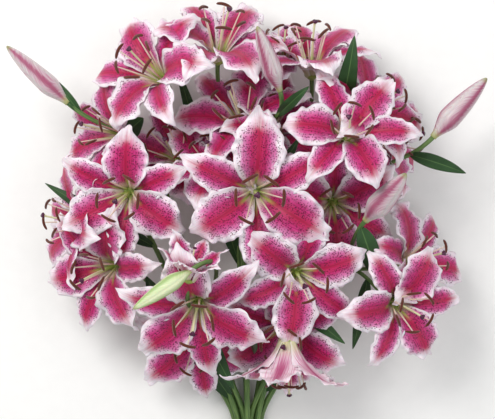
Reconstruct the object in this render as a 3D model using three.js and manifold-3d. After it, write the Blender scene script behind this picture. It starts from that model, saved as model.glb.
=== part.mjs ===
// A hand-tied bouquet of cut oriental lilies, lying on its flat back with its stems towards -Y.
// Each stem branches into pedicels that carry open flowers, buds and a half-open flower, and a raffia
// tie holds the stems. Millimetres, +Z up; the origin is the middle of the bouquet's base.
import * as THREE from "three";
import { ConvexGeometry } from "three/addons/geometries/ConvexGeometry.js";
import { mergeVertices } from "three/addons/utils/BufferGeometryUtils.js";
import Module from "manifold-3d";

const wasm = await Module();
wasm.setup();

// ------------------------------------------------------------------ driving dimensions, mm and degrees
const CLEARANCE = 0.5; // gap between pieces that touch
const HEAD_WIDTH = 600; // across the flowers
const HEAD_LENGTH = 510; // from the top flower to the lowest petal
const TEPAL_LENGTH = 106;
const INNER_HALF_WIDTH = 32; // the three broad petals
const OUTER_HALF_WIDTH = 22; // the three narrow sepals
const TEPAL_THICKNESS = 1.3;
const FUNNEL = 27; // how far the tepals lean out from the flower's axis at their base
const CLAW = 0.26; // width of a tepal's base, as a share of its full width
const RECEPTACLE_DEPTH = 7;
const THROAT_DEPTH = 36; // from the receptacle to the star that shows in the throat
const FILAMENT_LENGTH = 66;
const FILAMENT_RADIUS = 1.1;
const ANTHER_LENGTH = 21;
const ANTHER_RADIUS = 2.3;
const OVARY_RADIUS = 2.7;
const FILAMENT_RING = 4.4; // radius of the ring the filaments stand on
const PETAL_RING = 6.6; // and of the ring of petals
const SEPAL_STEP = TEPAL_THICKNESS + 0.4; // the sepals stand just outside them
const RECEPTACLE_RADIUS = PETAL_RING + SEPAL_STEP + TEPAL_THICKNESS; // wide enough to carry both
const STYLE_LENGTH = 76;
const STYLE_RADIUS = 1.4;
const STIGMA_RADIUS = 3.6;
const LEAF_THICKNESS = 1.2;
const STEM_RADIUS = 4.2;
const PEDICEL_RADIUS = 2.6;
const NECK_Y = -300; // where the tie holds the stems
const TAIL_LENGTH = 125; // from the tie to the cut ends
const TAIL_SPLAY = 2.1; // how far the cut ends spread, as a multiple of their places in the tie
const TIE_WIDTH = 26;
const TIE_THICKNESS = 3;

// Open flowers: where the throat is, how far the face leans from straight up, the compass direction it
// leans to, the direction of its first broad petal, its size, how far it has opened and how much it curls.
const FLOWERS = [
  { name: "flower_centre", at: [12, 18, 182], lean: 8, to: 300, turn: 90, size: 1.14, open: 80, curl: 62 },
  { name: "flower_left", at: [-154, 16, 150], lean: 12, to: 230, turn: 88, size: 1.0, open: 76, curl: 60 },
  { name: "flower_right", at: [126, 101, 172], lean: 18, to: 75, turn: 54, size: 0.94, open: 78, curl: 66 },
  { name: "flower_lower_right", at: [197, -121, 142], lean: 22, to: 340, turn: 62,
    size: 0.94, open: 82, curl: 72 },
  { name: "flower_lower_left", at: [-64, -129, 168], lean: 24, to: 260, turn: 340,
    size: 1.04, open: 80, curl: 50 },
  { name: "flower_lower_centre", at: [65, -85, 160], lean: 14, to: 300, turn: 20,
    size: 0.98, open: 78, curl: 92 },
  { name: "flower_far_left", at: [-188, -78, 118], lean: 30, to: 200, turn: 190,
    size: 0.98, open: 78, curl: 60 },
  { name: "flower_upper_left", at: [-127, 178, 132], lean: 40, to: 144, turn: 350,
    size: 1.04, open: 80, curl: 84 },
  { name: "flower_top", at: [-33, 221, 118], lean: 52, to: 82, turn: 178, size: 1.04, open: 82, curl: 70 },
  { name: "flower_top_right", at: [81, 204, 108], lean: 62, to: 92, turn: 150,
    size: 0.98, open: 74, curl: 76 },
  { name: "flower_right_edge", at: [164, 135, 118], lean: 46, to: 35, turn: 95,
    size: 0.94, open: 76, curl: 66 },
  { name: "flower_upper_centre", at: [-12, 125, 112], lean: 34, to: 110, turn: 75,
    size: 1.0, open: 76, curl: 60 },
  { name: "flower_inner_left", at: [-44, 62, 112], lean: 40, to: 105, turn: 130,
    size: 0.92, open: 70, curl: 80 },
  { name: "flower_inner_right", at: [111, 2, 108], lean: 12, to: 280, turn: 35,
    size: 1.0, open: 76, curl: 60 },
  { name: "flower_lower_middle", at: [46, -158, 116], lean: 24, to: 250, turn: 330,
    size: 1.0, open: 76, curl: 60 },
  { name: "flower_left_edge", at: [-228, -14, 92], lean: 62, to: 178, turn: 115,
    size: 0.94, open: 74, curl: 66 },
  { name: "flower_right_back", at: [192, 92, 84], lean: 60, to: 5, turn: 280,
    size: 0.94, open: 76, curl: 78 },
  { name: "flower_far_right", at: [222, -62, 92], lean: 48, to: 25, turn: 0,
    size: 0.94, open: 78, curl: 90 },
  { name: "flower_bottom_left", at: [-66, -174, 84], lean: 26, to: 262, turn: 335,
    size: 0.96, open: 84, curl: 50 },
  { name: "flower_middle_top", at: [36, 112, 96], lean: 34, to: 60, turn: 20,
    size: 0.92, open: 68, curl: 84 },
  { name: "flower_bottom", at: [50, -196, 138], lean: 84, to: 268, turn: 90,
    size: 0.92, open: 54, curl: 40 },
  { name: "flower_left_back", at: [-186, 102, 86], lean: 48, to: 170, turn: 90,
    size: 0.9, open: 74, curl: 70 },
  { name: "flower_middle_left", at: [-98, 76, 84], lean: 28, to: 130, turn: 50,
    size: 0.9, open: 76, curl: 66 },
  { name: "flower_top_back", at: [46, 204, 80], lean: 54, to: 82, turn: 30,
    size: 0.88, open: 74, curl: 76 },
  { name: "flower_half_open", at: [-68, -66, 188], lean: 62, to: 80, turn: 20,
    size: 0.55, open: 38, curl: 24 },
];

// Buds: the base of the bud, the direction it points in (lean from straight up, then compass), its length
// and its greatest radius.
const BUDS = [
  { name: "bud_left", at: [-226, 134, 116], lean: 84, to: 137, length: 104, radius: 13 },
  { name: "bud_top", at: [40, 146, 156], lean: 62, to: 111, length: 90, radius: 12.5 },
  { name: "bud_right", at: [234, 91, 112], lean: 84, to: 48, length: 100, radius: 14.5 },
  { name: "bud_inner_right", at: [147, -14, 134], lean: 62, to: 51, length: 84, radius: 15.5 },
  { name: "bud_green", at: [-67, -72, 206], lean: 86, to: 214, length: 84, radius: 10.5 },
];

// Stems: their place in the tie (across, up), the point where they branch, and the heads they carry.
const SLOT = 2 * STEM_RADIUS + 2 * CLEARANCE;
const ROW_RISE = SLOT * Math.sin(Math.PI / 3);
const STEMS = [
  { name: "stem_far_left", slot: [-2, 0], fork: [-118, -112, 44], heads: ["flower_far_left"] },
  { name: "stem_upper_left", slot: [-1, 0], fork: [-122, 66, 40],
    heads: ["flower_upper_left", "bud_left", "flower_left_back", "flower_middle_left"] },
  { name: "stem_top", slot: [0, 0], fork: [-18, 74, 40],
    heads: ["flower_top", "flower_upper_centre", "bud_top"] },
  { name: "stem_top_right", slot: [1, 0], fork: [80, 104, 36],
    heads: ["flower_top_right", "flower_right_edge", "flower_top_back"] },
  { name: "stem_far_right", slot: [2, 0], fork: [128, -84, 46],
    heads: ["flower_lower_right", "flower_far_right", "bud_inner_right"] },
  { name: "stem_left", slot: [-1.5, 1], fork: [-128, -34, 54], heads: ["flower_left", "flower_left_edge"] },
  { name: "stem_lower_left", slot: [-0.5, 1], fork: [-46, -162, 52],
    heads: ["flower_lower_left", "flower_bottom_left", "flower_half_open", "bud_green"] },
  { name: "stem_lower_right", slot: [0.5, 1], fork: [44, -168, 48],
    heads: ["flower_lower_centre", "flower_lower_middle", "flower_bottom"] },
  { name: "stem_right", slot: [1.5, 1], fork: [104, 22, 58],
    heads: ["flower_right", "flower_right_back", "bud_right", "flower_inner_right"] },
  { name: "stem_centre", slot: [0, 2], fork: [-6, -24, 72],
    heads: ["flower_centre", "flower_inner_left", "flower_middle_top"] },
];

// Leaves: the stem or pedicel they grow on, how far along it, the tip, how high they arch, and half
// the width.
const LEAVES = [
  { name: "leaf_bud_left", on: "bud_left", along: 0.86, tip: [-250, 170, 104], arch: 10, half: 6 },
  { name: "leaf_upper_left", on: "bud_left", along: 0.4, tip: [-132, 116, 104], arch: 10, half: 13 },
  { name: "leaf_far_left", on: "stem_left", along: 0.96, tip: [-262, 34, 66], arch: 22, half: 11 },
  { name: "leaf_top", on: "bud_top", along: 0.72, tip: [75, 150, 176], arch: 14, half: 7 },
  { name: "leaf_top_right", on: "flower_right_edge", along: 0.62, tip: [131, 213, 168],
    arch: 30, half: 12 },
  { name: "leaf_bud_right", on: "bud_right", along: 0.78, tip: [277, 46, 104], arch: 14, half: 9 },
  { name: "leaf_right", on: "stem_right", along: 0.97, tip: [204, 30, 70], arch: 18, half: 10 },
  { name: "leaf_inner_top", on: "stem_centre", along: 0.98, tip: [66, 92, 126], arch: 12, half: 12 },
  { name: "leaf_inner_right", on: "bud_inner_right", along: 0.9, tip: [166, -92, 108], arch: 8, half: 13 },
  { name: "leaf_lower_right", on: "flower_lower_right", along: 0.4, tip: [134, -178, 96],
    arch: 14, half: 9 },
  { name: "leaf_lower_middle", on: "flower_lower_centre", along: 0.45, tip: [122, -168, 128],
    arch: 16, half: 10 },
  { name: "leaf_lower_centre", on: "stem_centre", along: 0.62, tip: [12, -164, 132], arch: 26, half: 13 },
  { name: "leaf_bottom_left", on: "flower_half_open", along: 0.4, tip: [-17, -228, 106],
    arch: 20, half: 11 },
  { name: "leaf_middle_left", on: "stem_far_left", along: 0.9, tip: [-130, -84, 98], arch: 18, half: 11 },
  { name: "leaf_low_left", on: "stem_left", along: 0.42, tip: [-96, -138, 14], arch: 18, half: 13 },
  { name: "leaf_low_right", on: "stem_right", along: 0.4, tip: [96, -150, 14], arch: 18, half: 13 },
  { name: "leaf_back_left", on: "stem_top", along: 0.7, tip: [-96, 196, 12], arch: 14, half: 13 },
  { name: "leaf_back_right", on: "stem_top_right", along: 0.72, tip: [196, 150, 10], arch: 12, half: 13 },
];

// ------------------------------------------------------------------ small helpers
const radians = THREE.MathUtils.degToRad;
const clamp = THREE.MathUtils.clamp;
const smooth = (from, to, x) => THREE.MathUtils.smoothstep(x, from, to);
const up = new THREE.Vector3(0, 0, 1);

// A point of the head, which spreads with the head's width and length.
const HEAD_DRAWN = { width: 600, length: 510 };
const spot = ([x, y, z]) =>
  new THREE.Vector3((x * HEAD_WIDTH) / HEAD_DRAWN.width, (y * HEAD_LENGTH) / HEAD_DRAWN.length, z);

// A direction from how far it leans from straight up and the compass direction it leans to.
function heading(lean, to) {
  const [l, a] = [radians(lean), radians(to)];
  return new THREE.Vector3(Math.sin(l) * Math.cos(a), Math.sin(l) * Math.sin(a), Math.cos(l));
}

// A repeatable number from -1 to 1 for one tepal or stamen of one flower, so that no two are quite alike.
function vary(seed, k) {
  const x = Math.sin(seed * 12.9898 + k * 78.233) * 43758.5453;
  return 2 * (x - Math.floor(x)) - 1;
}

// ------------------------------------------------------------------ solids
// A closed skin of rings that shrink to a point in the first row and the last; place(row, angle) puts each
// corner. Its faces lean the same way on either side of a thin sheet, so that the sides never cross.
function skin(around, rows, place) {
  const points = [];
  for (let row = 0; row <= rows; row++)
    for (let j = 0; j < around; j++) points.push(...place(row, (-2 * Math.PI * j) / around).toArray());
  const faces = [];
  for (let row = 0; row < rows; row++)
    for (let j = 0; j < around; j++) {
      const [a, b] = [row * around + j, row * around + ((j + 1) % around)];
      const [c, d] = [a + around, b + around];
      if (row > 0) faces.push(...(j % 2 || row === rows - 1 ? [a, c, b] : [a, d, b]));
      if (row < rows - 1) faces.push(...(j % 2 && row > 0 ? [b, c, d] : [a, c, d]));
    }
  return new THREE.BufferGeometry()
    .setAttribute("position", new THREE.Float32BufferAttribute(points, 3))
    .setIndex(faces);
}

// A tube with flat ends along a curve, its radius given along its length and grown by a margin all round.
function tube(curve, radius, sides, steps, grow) {
  const frames = curve.computeFrenetFrames(steps);
  const beyond = (from, to) => curve.getPointAt(to).sub(curve.getPointAt(from)).normalize();
  const [before, after] = [beyond(1 / steps, 0), beyond(1 - 1 / steps, 1)];
  return skin(sides, steps + 2, (row, angle) => {
    const step = clamp(row - 1, 0, steps);
    const r = row % (steps + 2) ? radius(step / steps) + grow : 0;
    return curve
      .getPointAt(step / steps)
      .addScaledVector(before, step === 0 ? grow : 0)
      .addScaledVector(after, step === steps ? grow : 0)
      .addScaledVector(frames.normals[step], r * Math.cos(angle))
      .addScaledVector(frames.binormals[step], r * Math.sin(angle));
  });
}

// A geometry as a manifold-3d solid.
function solidOf(geometry) {
  const bare = geometry.clone();
  bare.deleteAttribute("normal");
  bare.deleteAttribute("uv");
  const merged = mergeVertices(bare, 1e-3);
  const triVerts = new Uint32Array(merged.index.array);
  return new wasm.Manifold(
    new wasm.Mesh({ numProp: 3, vertProperties: merged.attributes.position.array, triVerts }),
  );
}

// A solid back as a geometry.
function geometryOf(solid) {
  const mesh = solid.getMesh();
  const vertices = new Float32Array(mesh.numVert * 3);
  for (let i = 0; i < mesh.numVert; i++)
    vertices.set(mesh.vertProperties.subarray(i * mesh.numProp, i * mesh.numProp + 3), i * 3);
  return new THREE.BufferGeometry()
    .setAttribute("position", new THREE.BufferAttribute(vertices, 3))
    .setIndex(new THREE.BufferAttribute(mesh.triVerts, 1));
}

// The edges where more than two faces of a geometry meet, so that two of its walls touch along a line.
function pinchedEdges(geometry) {
  const merged = mergeVertices(geometry, 1e-3);
  const { index, attributes } = merged;
  const corner = (i) => new THREE.Vector3().fromBufferAttribute(attributes.position, i);
  const uses = new Map();
  for (let i = 0; i < index.count; i++) {
    const [a, b] = [index.getX(i), index.getX(i % 3 === 2 ? i - 2 : i + 1)];
    const key = Math.min(a, b) + " " + Math.max(a, b);
    uses.set(key, (uses.get(key) ?? 0) + 1);
  }
  return [...uses]
    .filter(([, n]) => n !== 2)
    .map(([key]) => key.split(" ").map((i) => corner(Number(i))))
    .filter(([a, b]) => a.distanceTo(b) > 1e-3);
}

// A geometry as one plain closed body: its pinched edges are opened with a groove, as fine as will do.
const GROOVE = 0.12;
function plainBody(geometry) {
  const whole = biggest(solidOf(geometry));
  const edges = pinchedEdges(geometryOf(whole));
  let body = whole;
  for (let pass = 1; pass < 12 && pinchedEdges(geometryOf(body)).length; pass++) {
    const grooves = edges.map((edge) => {
      const around = edge.flatMap((p) =>
        [0, 1, 2].flatMap((i) =>
          [-1, 1].map((d) => p.clone().setComponent(i, p.getComponent(i) + d * GROOVE * pass)),
        ),
      );
      return solidOf(new ConvexGeometry(around));
    });
    body = biggest(solidOf(geometryOf(whole.subtract(joined(grooves)).simplify(SLIVER))));
  }
  return geometryOf(body);
}

const joined = (solids) => solids.reduce((a, b) => a.add(b));
const SLIVER = 0.02; // edges finer than this are smoothed away
const biggest = (solid) => solid.decompose().reduce((a, b) => (b.volume() > a.volume() ? b : a));

// ------------------------------------------------------------------ one flower
// The flower's own frame: its axis is z, its first broad petal lies over x, and its base is the origin.
function bloomFrame(flower) {
  const axis = heading(flower.lean, flower.to);
  const first = heading(90, flower.turn);
  first.addScaledVector(axis, -first.dot(axis)).normalize();
  const second = axis.clone().cross(first);
  const base = spot(flower.at).addScaledVector(axis, -THROAT_DEPTH * flower.size);
  return new THREE.Matrix4().makeBasis(first, second, axis).setPosition(base);
}

// A tepal's centreline in the plane of its own radius and the axis, as a list of distance out, height and
// the angle from the axis. It rises as part of the trumpet, spreads, and curls back at its tip. The three
// sepals lie just behind the three petals.
const LINE_STEPS = 24;
function tepalLine(flower, seed, k) {
  const sepal = k % 2;
  const length = TEPAL_LENGTH * flower.size * (1 + 0.05 * vary(seed, k));
  const spread = flower.open + 5 * vary(seed, k + 10) + 3 * sepal;
  const curl = flower.curl * (1 + 0.3 * vary(seed, k + 20));
  const line = [];
  let [out, height] = [PETAL_RING + SEPAL_STEP * sepal, -sepal];
  for (let i = 0; i <= LINE_STEPS; i++) {
    const s = i / LINE_STEPS;
    const back = curl * Math.max(0, (s - 0.5) / 0.5) ** 1.6;
    const lean = radians(FUNNEL + (spread - FUNNEL) * smooth(0, 0.6, s) + back);
    line.push({ out, height, lean });
    out += (Math.sin(lean) * length) / LINE_STEPS;
    height += (Math.cos(lean) * length) / LINE_STEPS;
  }
  return line;
}

// A tepal's half width along its length: a narrow claw, widest near the middle, and a pointed tip.
const tepalWidth = (s) => (CLAW + (1 - CLAW) * smooth(0, 0.5, s)) * (1 - s ** 3.4) ** 0.8;

// In the throat a tepal wraps round the flower's axis; further out its edges fall back.
const WRAP = 57;
const TEPAL_ROWS = 4;
function tepal(flower, seed, k, grow) {
  const line = tepalLine(flower, seed, k);
  const half = (k % 2 ? OUTER_HALF_WIDTH : INNER_HALF_WIDTH) * flower.size;
  const turn = radians(60 * k + 4 * vary(seed, k + 30));
  const twist = radians(12 * vary(seed, k + 40));
  const [tip, before] = [line[LINE_STEPS], line[LINE_STEPS - LINE_STEPS / TEPAL_ROWS]];
  const chord = Math.atan2(tip.out - before.out, tip.height - before.height);
  return skin(4, TEPAL_ROWS + 1, (row, angle) => {
    const s = Math.max(row - 1, 0) / TEPAL_ROWS;
    const { out, height, lean } = line[Math.round(s * LINE_STEPS)];
    const [u, side] = [Math.cos(angle), Math.sin(angle)];
    const end = row % (TEPAL_ROWS + 1) ? 1 : 0;
    const full = half * tepalWidth(s);
    const arc = Math.min(full / out, radians(WRAP));
    const wrapped = 1 - smooth(0.25, 0.7, s);
    const span = THREE.MathUtils.lerp(full, out * Math.sin(arc), wrapped);
    const depth = THREE.MathUtils.lerp(-0.2 * full * s, out * (1 - Math.cos(arc)), wrapped);
    const wide = (span + grow) * end;
    const lift = (depth * u * u * (span ? 1 + grow / span : 1) + side * (TEPAL_THICKNESS / 2 + grow)) * end;
    const bend = twist * s * s;
    const across = wide * u * Math.cos(bend) - lift * Math.sin(bend);
    const rise = lift * Math.cos(bend) + wide * u * Math.sin(bend);
    const past = s === 1 ? 2 * grow : 0;
    const r = out + Math.sin(chord) * past - Math.cos(lean) * rise;
    const z = height + Math.cos(chord) * past + Math.sin(lean) * rise;
    return new THREE.Vector3(
      r * Math.cos(turn) - across * Math.sin(turn),
      r * Math.sin(turn) + across * Math.cos(turn),
      z,
    );
  });
}

// A filament with its anther lying across its end.
function stamen(flower, seed, k, grow) {
  const turn = radians(60 * k + 30 + 6 * vary(seed, k + 50));
  const lean = radians(Math.min(flower.open, 60) * (0.32 + 0.07 * vary(seed, k + 60)));
  const length = FILAMENT_LENGTH * flower.size;
  const outward = new THREE.Vector3(Math.cos(turn), Math.sin(turn), 0);
  const root = outward.clone().multiplyScalar(FILAMENT_RING).setZ(-1);
  const tip = outward.clone().multiplyScalar(FILAMENT_RING + length * Math.sin(lean));
  tip.z = length * Math.cos(lean);
  const filament = solidOf(tube(new THREE.LineCurve3(root, tip), () => FILAMENT_RADIUS, 3, 1, grow));
  const across = new THREE.Vector3(-Math.sin(turn), Math.cos(turn), 0.5 * vary(seed, k + 70)).normalize();
  const half = across.multiplyScalar((ANTHER_LENGTH / 2) * flower.size);
  const pod = tube(
    new THREE.LineCurve3(tip.clone().sub(half), tip.clone().add(half)),
    (s) => (s === 0.5 ? ANTHER_RADIUS : 0), 3, 2, grow,
  );
  return filament.add(solidOf(pod));
}

// The ovary, the style and the knob of the stigma, in one.
const PISTIL_SHAPE = [[0, 1], [0.24, 0.8], [0.32, 0], [0.88, 0], [1, 1]];
function pistil(flower, seed, grow) {
  const length = STYLE_LENGTH * flower.size;
  const sway = length * 0.1;
  const line = new THREE.QuadraticBezierCurve3(
    new THREE.Vector3(0, 0, -1),
    new THREE.Vector3(0, 0, 0.6 * length),
    new THREE.Vector3(sway * vary(seed, 81), sway * vary(seed, 82), length),
  );
  const frames = line.computeFrenetFrames(2);
  return skin(4, PISTIL_SHAPE.length + 1, (row, angle) => {
    const [along, swell] = PISTIL_SHAPE[clamp(row - 1, 0, PISTIL_SHAPE.length - 1)];
    const full = along < 0.5 ? OVARY_RADIUS : STIGMA_RADIUS;
    const end = row % (PISTIL_SHAPE.length + 1) ? 1 : 0;
    const r = ((STYLE_RADIUS + (full - STYLE_RADIUS) * swell) * Math.sqrt(flower.size) + grow) * end;
    return line
      .getPointAt(along)
      .addScaledVector(frames.normals[0], r * Math.cos(angle))
      .addScaledVector(frames.binormals[0], r * Math.sin(angle));
  });
}

function flowerSolid(flower, seed, grow) {
  const seat = new THREE.LineCurve3(
    new THREE.Vector3(0, 0, -RECEPTACLE_DEPTH),
    new THREE.Vector3(0, 0, RECEPTACLE_DEPTH * 0.4),
  );
  const receptacle = tube(seat, (s) => (s ? RECEPTACLE_RADIUS : PEDICEL_RADIUS), 5, 2, grow);
  const pieces = [solidOf(receptacle), solidOf(pistil(flower, seed, grow))];
  for (let k = 0; k < 6; k++) {
    pieces.push(solidOf(tepal(flower, seed, k, grow)));
    if (flower.open > 50) pieces.push(stamen(flower, seed, k, grow));
  }
  return joined(pieces).transform(bloomFrame(flower).toArray());
}

// ------------------------------------------------------------------ one bud
// Long and slim, fullest a third of the way up, with three soft corners.
const budWidth = (s) => (0.3 + 0.7 * smooth(0, 0.34, s)) * (1 - s ** 2.4) ** 0.75 + 0.08 * s;

function budCurve(bud) {
  const base = spot(bud.at);
  const axis = heading(bud.lean, bud.to);
  return new THREE.LineCurve3(base, base.clone().addScaledVector(axis, bud.length));
}

function budSolid(bud, grow) {
  return solidOf(tube(budCurve(bud), (s) => bud.radius * budWidth(s), 7, 7, grow));
}

// ------------------------------------------------------------------ stems and pedicels
// Where a head joins its pedicel, and the direction it faces there.
function seatOf(name) {
  const flower = FLOWERS.find((f) => f.name === name);
  if (flower) {
    const axis = heading(flower.lean, flower.to);
    const base = spot(flower.at).addScaledVector(axis, -THROAT_DEPTH * flower.size - RECEPTACLE_DEPTH);
    return { base, axis };
  }
  const bud = BUDS.find((b) => b.name === name);
  return { base: spot(bud.at), axis: heading(bud.lean, bud.to) };
}

const LOWEST_ROW = STEM_RADIUS + 2 * CLEARANCE + TIE_THICKNESS;
const slotPlace = ([across, row]) => [across * SLOT, LOWEST_ROW + row * ROW_RISE];

function stemCurve(stem) {
  const [x, z] = slotPlace(stem.slot);
  const fork = spot(stem.fork);
  const tail = new THREE.Vector3(x * TAIL_SPLAY, NECK_Y - TAIL_LENGTH, STEM_RADIUS + (z - LOWEST_ROW) * 1.15);
  const below = new THREE.Vector3(x, NECK_Y - TIE_WIDTH, z);
  const above = new THREE.Vector3(x, NECK_Y + TIE_WIDTH, z);
  const half = above.clone().lerp(fork, 0.5);
  half.z -= 4;
  return new THREE.CatmullRomCurve3([tail, below, above, half, fork]);
}

function pedicelCurve(stem, name) {
  const along = 1 - 0.012 * stem.heads.indexOf(name);
  const fork = stemCurve(stem).getPointAt(along);
  const { base, axis } = seatOf(name);
  const reach = base.distanceTo(fork);
  const start = stemCurve(stem).getTangentAt(along);
  return new THREE.CubicBezierCurve3(
    fork,
    fork.clone().addScaledVector(start, reach * 0.3),
    base.clone().addScaledVector(axis, -reach * 0.38),
    base.clone().addScaledVector(axis, 0.5),
  );
}

function stemSolid(stem, grow) {
  const stalk = tube(stemCurve(stem), (s) => STEM_RADIUS * (1 - 0.22 * s), 6, 8, grow);
  const pedicels = stem.heads.map((name) =>
    solidOf(tube(pedicelCurve(stem, name), () => PEDICEL_RADIUS, 3, 4, grow)),
  );
  return joined([solidOf(stalk), ...pedicels]);
}

// Every stem and pedicel by name, for the leaves that grow on them.
const AXES = new Map();
for (const stem of STEMS) {
  AXES.set(stem.name, stemCurve(stem));
  for (const head of stem.heads) AXES.set(head, pedicelCurve(stem, head));
}

// ------------------------------------------------------------------ leaves
// Lance-shaped, narrow at both ends, folded a little along the middle.
const leafWidth = (s) => Math.sin(Math.PI * s ** 0.8) ** 0.8;
const LEAF_ROWS = 5;
function leafSolid(leaf, grow) {
  const base = AXES.get(leaf.on).getPointAt(leaf.along);
  const tip = spot(leaf.tip);
  const middle = base.clone().lerp(tip, 0.45).addScaledVector(up, leaf.arch * 2);
  const line = new THREE.QuadraticBezierCurve3(base, middle, tip);
  return solidOf(
    skin(4, LEAF_ROWS, (row, angle) => {
      const s = row / LEAF_ROWS;
      const tangent = line.getTangentAt(s);
      const normal = up.clone().addScaledVector(tangent, -up.dot(tangent)).normalize();
      const across = normal.clone().cross(tangent);
      const end = row % LEAF_ROWS ? 1 : 0;
      const wide = (leaf.half * leafWidth(s) + grow) * end;
      const fold = wide * Math.abs(Math.cos(angle)) * 0.3;
      return line
        .getPointAt(s)
        .addScaledVector(across, wide * Math.cos(angle))
        .addScaledVector(normal, fold + Math.sin(angle) * (LEAF_THICKNESS / 2 + grow) * end);
    }),
  );
}

// ------------------------------------------------------------------ the tie
// The outline of a loop drawn tight round the stems, at a distance from them.
function loopOutline(distance) {
  const points = [];
  for (const stem of STEMS) {
    const [x, z] = slotPlace(stem.slot);
    for (let i = 0; i < 24; i++) {
      const a = (i * Math.PI) / 12;
      points.push(new THREE.Vector2(x + Math.cos(a) * distance, z + Math.sin(a) * distance));
    }
  }
  points.sort((a, b) => a.x - b.x || a.y - b.y);
  const turns = (o, a, b) => (a.x - o.x) * (b.y - o.y) - (a.y - o.y) * (b.x - o.x);
  const halfHull = (list) =>
    list.reduce((hull, p) => {
      while (hull.length > 1 && turns(hull.at(-2), hull.at(-1), p) <= 0) hull.pop();
      hull.push(p);
      return hull;
    }, []);
  const [low, high] = [halfHull(points), halfHull([...points].reverse())];
  return [...low.slice(0, -1), ...high.slice(0, -1)];
}

function tieSolid(grow) {
  const inside = STEM_RADIUS + CLEARANCE;
  const band = new THREE.Shape(loopOutline(inside + TIE_THICKNESS + grow));
  band.holes.push(new THREE.Path(loopOutline(inside - grow)));
  const geometry = new THREE.ExtrudeGeometry(band, { depth: TIE_WIDTH + 2 * grow, bevelEnabled: false });
  geometry.rotateX(Math.PI / 2);
  geometry.translate(0, NECK_Y + TIE_WIDTH / 2 + grow, 0);
  return solidOf(geometry);
}

// ------------------------------------------------------------------ assembly
// Each piece is listed with its colour and a maker that can grow it by a margin all over. A later piece
// gives way to the earlier ones that it meets, with the clearance between them.
const PIECES = [];
const list = (name, finish, make, root) => PIECES.push({ name, finish, make, root });

list("tie", "raffia", (grow) => tieSolid(grow));
for (const stem of STEMS) list(stem.name, "stem", (grow) => stemSolid(stem, grow));
for (const bud of BUDS)
  list(bud.name, bud.name === "bud_green" ? "green_bud" : "bud", (grow) => budSolid(bud, grow));
FLOWERS.forEach((flower, seed) => list(flower.name, "petal", (grow) => flowerSolid(flower, seed + 1, grow)));
for (const leaf of LEAVES)
  list(leaf.name, "leaf", (grow) => leafSolid(leaf, grow), AXES.get(leaf.on).getPointAt(leaf.along));

const FINISHES = {
  petal: new THREE.MeshStandardMaterial({ color: 0xd13b72, roughness: 0.55, metalness: 0, flatShading: true }),
  bud: new THREE.MeshStandardMaterial({ color: 0xcf9fb0, roughness: 0.55, metalness: 0, flatShading: true }),
  green_bud: new THREE.MeshStandardMaterial({ color: 0xb3c98b, roughness: 0.55, metalness: 0, flatShading: true }),
  stem: new THREE.MeshStandardMaterial({ color: 0x3f6b35, roughness: 0.5, metalness: 0, flatShading: true }),
  leaf: new THREE.MeshStandardMaterial({ color: 0x2f5a2e, roughness: 0.4, metalness: 0, flatShading: true }),
  raffia: new THREE.MeshStandardMaterial({ color: 0xc9ab74, roughness: 0.85, metalness: 0, flatShading: true }),
};

const apart = (a, b) =>
  [0, 1, 2].some((i) => a.min[i] > b.max[i] || b.min[i] > a.max[i]);

// The part of a cut piece that is kept: the biggest, or for a leaf the one that still grows from its root.
const LEAST_SHARE = 0.06; // a smaller crumb of a leaf is never the part that is kept
const farFrom = (root, solid) => {
  const points = solid.getMesh().vertProperties;
  let least = Infinity;
  for (let i = 0; i < points.length; i += 3)
    least = Math.min(least, Math.hypot(points[i] - root.x, points[i + 1] - root.y, points[i + 2] - root.z));
  return least;
};
function kept(solid, root) {
  if (!root) return biggest(solid);
  const parts = solid.decompose().filter((part) => part.volume() > LEAST_SHARE * solid.volume());
  return parts.reduce((a, b) => (farFrom(root, b) < farFrom(root, a) ? b : a));
}

const solids = [];
const earlier = [];
for (const { make, root } of PIECES) {
  let solid = make(0);
  for (const other of earlier)
    if (!apart(solid.boundingBox(), other.boundingBox())) solid = solid.subtract(other);
  solids.push(kept(solid.simplify(SLIVER), root));
  earlier.push(make(CLEARANCE).add(make(0)));
}

// Smoothing may bring two pieces into touch where the earlier one bends sharply. The later one is then cut
// back again, by the earlier one moved a little each way.
const NUDGE = 3 * SLIVER;
const NUDGES = [0, 1, 2].flatMap((axis) => [-NUDGE, NUDGE].map((d) => [0, 0, 0].with(axis, d)));
const LEAST_TOUCH = 0.001;
solids.forEach((first, i) => {
  for (let j = i + 1; j < solids.length; j++) {
    if (apart(first.boundingBox(), solids[j].boundingBox())) continue;
    if (first.intersect(solids[j]).volume() < LEAST_TOUCH) continue;
    const cut = solids[j].subtract(joined(NUDGES.map((way) => first.translate(way))));
    solids[j] = kept(cut, PIECES[j].root);
  }
});

// The origin is the middle of the base of the whole bouquet.
const box = new THREE.Box3();
for (const solid of solids) {
  const { min, max } = solid.boundingBox();
  box.union(new THREE.Box3(new THREE.Vector3(...min), new THREE.Vector3(...max)));
}
const middle = box.getCenter(new THREE.Vector3()).setZ(box.min.z);

const bouquet = new THREE.Group();
PIECES.forEach(({ name, finish }, i) => {
  const geometry = plainBody(geometryOf(solids[i].translate(-middle.x, -middle.y, -middle.z)));
  const mesh = new THREE.Mesh(geometry, FINISHES[finish]);
  mesh.name = name;
  bouquet.add(mesh);
});

export default bouquet;
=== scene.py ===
# %% [markdown]
# # A bouquet of oriental lilies
# Twenty-four open lilies, one that is half open and five buds are tied into a flat-backed sheaf. It lies on
# a pale floor with its cut stems towards -Y, and the camera looks straight down on it. The solids give
# every piece its place; this lesson grows thin petals, stamens, buds and leaves in those places and gives
# each of them a living surface.

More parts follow.
